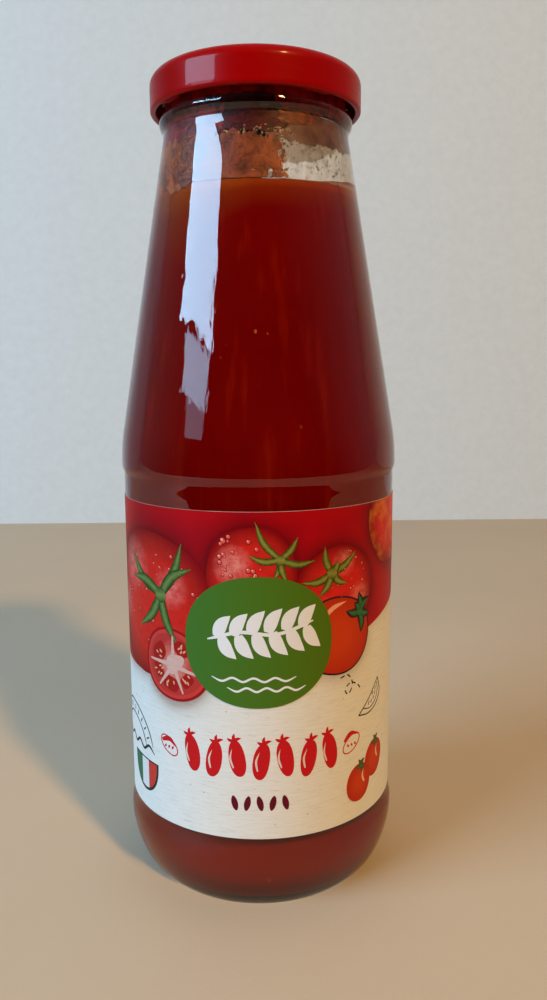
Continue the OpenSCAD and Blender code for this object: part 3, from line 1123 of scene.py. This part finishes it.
def make_halved_tomato():
    """Half a tomato in front of the others: skin, flesh, seed chambers and pale core."""
    centre, rx, rz = (-24, 67.3), 10.8, 9.7
    plane = own_plane(centre, rx, rz)
    layers = (("skin", 1.0, 1.0, 0.02, flat_ink("print_half_skin", (0.34, 0.006, 0.010))),
              ("rim", 0.93, 0.93, 0.02, flat_ink("print_half_rim", (0.66, 0.045, 0.035))),
              ("flesh", 0.84, 0.83, 0.03, flesh_paint()))
    for i, (name, wide, high, depth, material) in enumerate(layers):
        outline = oval(centre, rx * wide, rz * high, -8, 2.1, 3, depth)
        ink(f"half_{name}", [(outline, plane)], material, 5 + i)
    chambers, seeds, core = [], [], []
    rng = random.Random(4)
    for turn, size in ((150, 1.15), (205, 0.9), (262, 1.05), (318, 0.85), (62, 1.0)):
        a = radians(turn)
        middle = around(centre, 0.54 * rx, 0.54 * rz, a)
        chambers.append(oval(middle, 2.6 * size, 1.9 * size, turn + 90, 2.4, 4, 0.07, turn, 30))
        for _ in range(5):
            d, t = rng.uniform(0.3, 1.0), rng.uniform(0, 2 * pi)
            spot = around(middle, 1.7 * d, 1.3 * d, t)
            seeds.append(oval(spot, 0.52, 0.24, turn + rng.uniform(-25, 25), steps=12))
        tip = around(centre, 0.80 * rx, 0.80 * rz, a + 0.5)
        core.append((*ribbon(smooth_path([centre, tip], 6), lambda t: 0.75 * (1 - 0.7 * t)), 0.5))
    ink("half_chambers", chambers, flat_ink("print_half_gel", (0.40, 0.010, 0.008), 0.4), 8)
    ink("half_seeds", seeds, flat_ink("print_half_seed", (0.78, 0.40, 0.24)), 9)
    core.append((oval((centre[0] + 0.4, centre[1] + 0.5), 3.3, 2.3, 40, 2, 3, 0.12, 1, 30), None, 1))
    ink("half_core", core, flat_ink("print_half_core", (0.72, 0.43, 0.36), 0.3), 9)


def make_emblem():
    """A plain green oval with a white sprig and two thin white waves."""
    centre = (-0.5, 75.3)
    ink("oval_field", [(oval(centre, 19.3, 17, power=2.2, steps=120), own_plane(centre, 19.3, 17))],
        green_field_paint(), 10)
    white = flat_ink("print_white", (0.86, 0.85, 0.86), 0.05)
    shapes = [stroke([(-13.5, 76), (-5, 78.2), (4, 77.6), (13.5, 80.5)], 0.9)]
    for i in range(6):
        x, base = -11 + 4.3 * i, 76.8 + 0.45 * i
        length, extra = 6.2 - 0.25 * abs(i - 2.5), 0.5 + 0.5 * (i % 2)
        shapes.append((*blade((x, base), (x + 3.6, base + length), 2.0, 0.10), extra))
        shapes.append((*blade((x + 1.2, base), (x + 5.0, base - length), 2.0, -0.10), extra))
    ink("oval_sprig", shapes, white, 11)
    waves = []
    for x0, x1, z in ((-12.5, 9, 65.8), (-8.5, 11.5, 63.2)):
        waves.append(stroke([(x, z + 0.5 * (-1) ** i) for i, x in enumerate(between(x0, x1, 8))], 0.55))
    ink("oval_waves", waves, white, 11)


def green_field_paint():
    """Even green ink, yellower to the right."""
    paint = Paint("print_green", Roughness=PRINT_ROUGH, Specular_IOR_Level=PRINT_SHINE)
    side = paint.math("ADD", paint.math("MULTIPLY", paint.axis(on_label(paint), "X"), 0.25), 0.5)
    return printed(paint, paint.ramp(side, (0.1, (0.055, 0.17, 0.022)), (0.9, (0.085, 0.17, 0.006))))


def make_drawn_tomato():
    """An orange-red tomato drawn with a dark outline, half behind the oval."""
    centre, rx, rz = (21.0, 75.2), 11.2, 10.4
    line = 0.48
    dark = flat_ink("print_outline", (0.045, 0.012, 0.018))
    ink("drawn_edge", [oval(centre, rx, rz, -12, 2.15)], dark, 5)
    inner = oval(centre, rx - line, rz - line, -12, 2.15)
    ink("drawn_body", [(inner, own_plane(centre, rx, rz))], drawn_body_paint(), 6)
    ink("drawn_glint", [blade((16.0, 80.2), (23.5, 84.0), 0.75, 0.10)],
        flat_ink("print_peach", (0.90, 0.38, 0.25)), 7)
    star = [(-4.2, 0.8), (-0.2, 4.6), (3.4, 3.0), (3.6, -0.8), (0.6, -5.0), (-1.6, 2.4)]
    green = leaf_paint("print_drawn_green", (0.02, 0.09, 0.03), (0.05, 0.20, 0.06))
    outer_star = [(1.15 * a, 1.15 * b) for a, b in star]
    calyx("drawn_sepal_edges", (28.2, 80.3), outer_star, 1.45, dark, 7, (0.1, -0.1))
    calyx("drawn_sepals", (28.2, 80.3), star, 0.95, green, 11, (0.1, -0.1))


def drawn_body_paint():
    """Orange red that darkens a little towards the lower edge."""
    paint = Paint("print_orange_red", Roughness=PRINT_ROUGH, Specular_IOR_Level=PRINT_SHINE)
    radius = paint.length(paint.place((1, 1, 0), "own"))
    return printed(paint, paint.ramp(radius, (0.3, (0.62, 0.050, 0.006)), (0.95, (0.50, 0.028, 0.004))))


def make_doodles():
    """Thin dark line drawings: a dashed loop and a wedge with seeds."""
    dark = flat_ink("print_line", (0.05, 0.02, 0.02))
    loop = [(21.8, 63.6), (24.4, 63.9), (26.0, 61.2), (24.6, 58.6), (23.4, 60.2), (25.6, 61.6), (28.6, 59.8),
            (29.6, 57.0)]
    ink("dashed_loop", dashes(loop, 0.38), dark, 1)
    rind = [(28.6, 51.4), (33.0, 50.9), (37.0, 52.4), (39.0, 55.6), (37.7, 59.6)]
    flesh = [(30.6, 52.7), (33.6, 52.2), (36.3, 53.4), (37.7, 55.9), (37.2, 58.4)]
    sides = [rind[-1], (33.5, 55.4), rind[0]]
    shapes = [stroke(rind, 0.36, 1), stroke(sides, 0.36, 1), stroke(flesh, 0.28, 1)]
    for x, z in ((33.0, 53.6), (34.3, 53.8), (35.4, 54.5), (36.2, 55.6), (36.4, 56.9), (34.9, 55.9)):
        shapes.append(stroke([(x - 0.2, z - 0.5), (x + 0.2, z + 0.5)], 0.30))
    ink("drawn_wedge", shapes, dark, 1)


def make_fruit_row():
    """Seven plain narrow plum shapes in a row, and smaller seeds below them."""
    red = flat_ink("print_row_red", (0.60, 0.010, 0.014), 0.2)
    plums, ticks, glints = [], [], []
    for i in range(7):
        x, z = -18.6 + 6.2 * i, 44.8 + 0.35 * (-1) ** i
        tilt = 9 * (-1) ** i
        plums.append(oval((x, z - 0.6), 2.15, 5.0, tilt, 2.15, 3, 0.02, i))
        top = (x - 0.085 * tilt, z + 4.2)
        for dx, dz in ((-1.9, 0.6), (0.1, 2.0), (1.9, 0.8)):
            ticks.append(blade(top, (top[0] + dx, top[1] + dz), 0.5, 0.1))
        glints.append(blade((x - 1.0, z - 3.2), (x - 0.9 - 0.05 * tilt, z + 2.0), 0.32, 0.12))
    ink("row_plums", plums, red, 1)
    ink("row_ticks", ticks, red, 2)
    ink("row_glints", glints, flat_ink("print_row_pale", (0.80, 0.62, 0.52)), 2)
    seeds = [oval((-7 + 3.3 * i, 32.4), 0.85, 2.1, 12 * (-1) ** i, 1.8, steps=28) for i in range(5)]
    ink("row_seeds", seeds, flat_ink("print_maroon", (0.13, 0.006, 0.016), 0.2), 1)
    for side, x in (("left", -26.4), ("right", 25.9)):
        tilt = 35 if side == "right" else -35
        ring = oval((x, 44.6), 3.4, 2.0, tilt, 2, steps=36)
        shapes = [stroke(ring[::3] + [ring[0]], 0.34, 1)]
        shapes.append((*blade((x - 2.6, 45.6), (x + 2.6, 46.6 if side == "right" else 44.6), 0.8, 0.25), 0.5))
        for j in range(3):
            shapes.append((oval((x - 1.3 + 1.3 * j, 44.2), 0.30, 0.5, tilt, steps=12), None, 1))
        ink(f"slice_{side}", shapes, red, 1)


def make_small_plums():
    """Two plum tomatoes, one behind the other, with green tops."""
    orange = drawn_body_paint()
    green = leaf_paint("print_plum_green", (0.03, 0.06, 0.015), (0.12, 0.20, 0.05))
    glint = flat_ink("print_plum_glint", (0.88, 0.55, 0.36))
    tips = [(-2.3, 0.2), (-0.8, 1.9), (1.5, 1.7), (2.1, -0.4), (0.2, -1.9)]
    for i, (x, z, rx, rz, tilt) in enumerate(((36.0, 37.0, 4.5, 5.3, -16), (29.0, 32.4, 4.7, 5.3, -12))):
        lift = 1 + 6 * i
        outline, plane = oval((x, z), rx, rz, tilt, 2.1), own_plane((x, z), rx, rz, tilt)
        ink(f"plum_{i}", [(outline, plane)], orange, lift)
        streak = blade((x + 0.45 * rx, z - 0.1 * rz), (x + 0.35 * rx, z + 0.62 * rz), 0.4, 0.15)
        ink(f"plum_glint_{i}", [streak], glint, lift + 1)
        calyx(f"plum_top_{i}", (x + 0.6, z + 0.86 * rz), tips, 0.55, green, lift + 2, (0.1, -0.1))


def make_badge():
    """Arcs and a small three-colour shield at the left, with a plain wavy line between them."""
    dark = flat_ink("print_badge_line", (0.030, 0.035, 0.030))
    hub = (-46, 38)
    lines = []
    for r in (13.0, 9.4):
        lines.append(stroke([around(hub, r, r, radians(a)) for a in range(15, 146, 10)], 0.45))
    for a in range(28, 140, 14):
        lines.append(stroke([around(hub, r, r, radians(a)) for r in (10.4, 12.0)], 0.45))
    lines.append(stroke([(-53 + 2.9 * i, 40.4 + 0.8 * (-1) ** i) for i in range(8)], 0.75))
    ink("badge_lines", lines, dark, 1)
    middle, half, top, depth = -38.0, 6.9, 37.2, 9.6
    rim = [(half * sin(radians(a)), -depth * cos(radians(a)) ** 0.8) for a in range(-90, 91, 6)]
    inner = [(0.87 * x, 0.87 * z - 0.4) for x, z in rim]
    white = flat_ink("print_shield_white", (0.78, 0.77, 0.74))
    fields = [("edge", rim, dark), ("white", inner, white)]
    for name, sign, colour in (("green", -1, (0.03, 0.16, 0.07)), ("red", 1, (0.62, 0.045, 0.03))):
        part = [(x, z) for x, z in inner if sign * x > 2.0]
        part.append((sign * 2.0, -0.4))
        part.insert(0, (sign * 2.0, min(z for _, z in part)))
        part.sort(key=lambda p: atan2(p[1] + 3.5, sign * (p[0] - sign * 3.2)))
        fields.append((name, part, flat_ink(f"print_shield_{name}", colour)))
    for i, (name, part, material) in enumerate(fields):
        ink(f"shield_{name}", [[(middle + x, top + z) for x, z in part]], material, min(i + 1, 3))


def make_back():
    """The plain sides of the label: ruled panels with nothing to read."""
    dark = flat_ink("print_rule", (0.10, 0.05, 0.04))
    pale = flat_ink("print_panel", (0.74, 0.66, 0.50))
    for side, s in (("left", -84), ("right", 84)):
        for name, rx, rz, material, lift in (("panel_edge", 20, 18, dark, 1), ("panel", 19.6, 17.6, pale, 2)):
            ink(f"{name}_{side}", [oval((s, 45), rx, rz, 0, 7, steps=96)], material, lift)
        ends = [(16 if i % 3 else 9, 56 - 4.2 * i) for i in range(6)]
        rules = [stroke([(s - 16, z), (s + end, z)], 0.5) for end, z in ends]
        ink(f"panel_rules_{side}", rules, dark, 3)


def make_label():
    inner_r = PANEL_R + GLUE_GAP
    half_turn = (pi * inner_r - LABEL_GAP / 2) / inner_r * PRINT_R
    make_paper(half_turn)
    make_red_field(half_turn)
    make_fruit()
    make_halved_tomato()
    make_emblem()
    make_drawn_tomato()
    make_doodles()
    make_fruit_row()
    make_small_plums()
    make_badge()
    make_back()


# ---------------------------------------------------------------- camera, lights and stage

# The camera's place in metres, and its turns in degrees: to the right, down and clockwise
CAMERA_PLACE = (0, -0.2335, 0.1434)
CAMERA_TURNS = (1.02, 9.29, -0.34)


def make_camera():
    """Close to the bottle, a little below the middle of its cone, looking slightly down."""
    yaw, pitch, roll = [radians(a) for a in CAMERA_TURNS]
    ahead = Vector((sin(yaw) * cos(pitch), cos(yaw) * cos(pitch), -sin(pitch)))
    right = Vector((cos(yaw), -sin(yaw), 0))
    up = right.cross(ahead)
    tilted_right = right * cos(roll) + up * sin(roll)
    tilted_up = up * cos(roll) - right * sin(roll)
    data = bpy.data.cameras.new("camera")
    data.lens, data.sensor_width, data.clip_start = 29.55, 36.0, 0.01
    camera = link("camera", data)
    turn = Matrix((tilted_right, tilted_up, -ahead)).transposed().to_4x4()
    camera.matrix_world = Matrix.Translation(CAMERA_PLACE) @ turn
    bpy.context.scene.camera = camera


WINDOW_COLOUR = (0.43, 0.71, 1.0)
# Lights: name, azimuth, elevation, distance in metres, size in metres, watts, colour and shape
LIGHTS = [
    ("window", -60, 27.5, 1.5, (0.88, 0.40), 21.3, WINDOW_COLOUR, "RECTANGLE"),
    ("window_middle", -57, 17.0, 1.5, (0.62, 0.12), 1.9, WINDOW_COLOUR, "RECTANGLE"),
    ("window_sill", -54, 12.6, 1.5, (0.42, 0.12), 0.34, WINDOW_COLOUR, "RECTANGLE"),
    ("lamp", 33, 42, 1.4, (0.12, 0.12), 12.5, (1.0, 0.60, 0.20), "DISK"),
]


def direction(azimuth, elevation):
    """A unit vector, azimuth from -Y towards +X, in degrees."""
    a, e = radians(azimuth), radians(elevation)
    return Vector((sin(a) * cos(e), -cos(a) * cos(e), sin(e)))


def make_light(name, azimuth, elevation, distance, size, power, colour, shape):
    """An area light that looks at the middle of the bottle and isn't seen itself, only its reflections."""
    data = bpy.data.lights.new(name, "AREA")
    data.shape = shape
    data.size, data.size_y = size
    data.energy, data.color = power, colour
    light = link(name, data)
    away = direction(azimuth, elevation)
    light.location = Vector((0, 0, MOUTH_Z / 2 * MM)) + away * distance
    light.rotation_euler = away.to_track_quat("Z", "Y").to_euler()
    light.visible_camera = False
    light.visible_transmission = False


def make_world():
    """A dim room that lights the bottle mostly from above and behind, on a plain pale background."""
    world = bpy.data.worlds.new("room")
    world.use_nodes = True
    world.cycles.sampling_method = "NONE"
    nodes = Nodes(world.node_tree)
    where = nodes.node("TexCoord").outputs["Generated"]
    height, depth = nodes.axis(where, "Z"), nodes.axis(where, "Y")
    mixed = nodes.math("MULTIPLY_ADD", height, 0.7, depth)
    inputs = [("Value", mixed), ("From Min", -0.55), ("From Max", 1.2), ("To Min", 0.0), ("To Max", 0.34)]
    room = nodes.node("MapRange", inputs).outputs["Result"]
    camera_ray = nodes.node("LightPath").outputs["Is Camera Ray"]
    seen = nodes.node("Mix", [(0, camera_ray), (2, room), (3, 0.55)]).outputs[0]
    background = nodes.tree.nodes["Background"]
    nodes.feed(background.inputs["Color"], (0.95, 0.98, 1.0))
    nodes.feed(background.inputs["Strength"], seen)
    bpy.context.scene.world = world


def floor_paint():
    """Pale warm floor, a little uneven."""
    paint = Paint("pale_floor", Roughness=0.6, Specular_IOR_Level=0.3)
    tone = paint.noise(paint.place(), 6, 4)
    paint.give("Base Color", paint.ramp(tone, (0.3, (0.565, 0.445, 0.315)), (0.7, (0.605, 0.48, 0.345))))
    paint.bump(paint.noise(paint.place(), 900, 3), 0.2, 0.0002)
    return paint.material


def wall_paint():
    """Pale cool wall with painted shade that darkens it towards the far left."""
    paint = Paint("pale_wall", Roughness=0.8, Specular_IOR_Level=0.2)
    grain = paint.noise(paint.place(), 140, 4, 0.6)
    pale = paint.ramp(grain, (0.3, (0.72, 0.775, 0.80)), (0.7, (0.76, 0.82, 0.85)))
    # Painted shade: the wall turns darker towards the far left.
    leftwards = paint.math("MULTIPLY", paint.axis(paint.place(), "X"), -1.0)
    shade = paint.ramp(leftwards, (0.28, 0.0), (0.62, 1.0))
    paint.give("Base Color", paint.mix(shade, pale, (0.42, 0.38, 0.37)))
    paint.bump(grain, 0.4, 0.0008)
    return paint.material


def plane(name, corners, material):
    mesh = bpy.data.meshes.new(name)
    mesh.from_pydata(corners, [], [(0, 1, 2, 3)])
    return link(name, mesh, material)


def make_stage():
    """A pale floor, wider at its back, and a pale wall a little way behind the bottle."""
    half, near_half, front, back, top = 1.6, 0.62, -0.36, 0.52, 1.5
    floor_corners = [(-near_half, front, 0), (near_half, front, 0), (half, 0.62, 0), (-half, 0.62, 0)]
    wall_corners = [(-half, back, 0), (half, back, 0), (half, back, top), (-half, back, top)]
    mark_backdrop(plane("floor", floor_corners, floor_paint()), plane("wall", wall_corners, wall_paint()))


def write_size():
    """Both boxes, of the CAD model and of this one, in metres."""
    boxes = {"cad": CAD_BOX, "visual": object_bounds()}
    plain = {name: [list(corner) for corner in box] for name, box in boxes.items()}


make_camera()
make_glass()
make_passata()
make_headspace()
make_cap()
make_label()
for light in LIGHTS:
    make_light(*light)
make_world()
make_stage()
bpy.context.scene.view_settings.view_transform = "Standard"
bpy.context.scene.cycles.use_denoising = True
write_size()
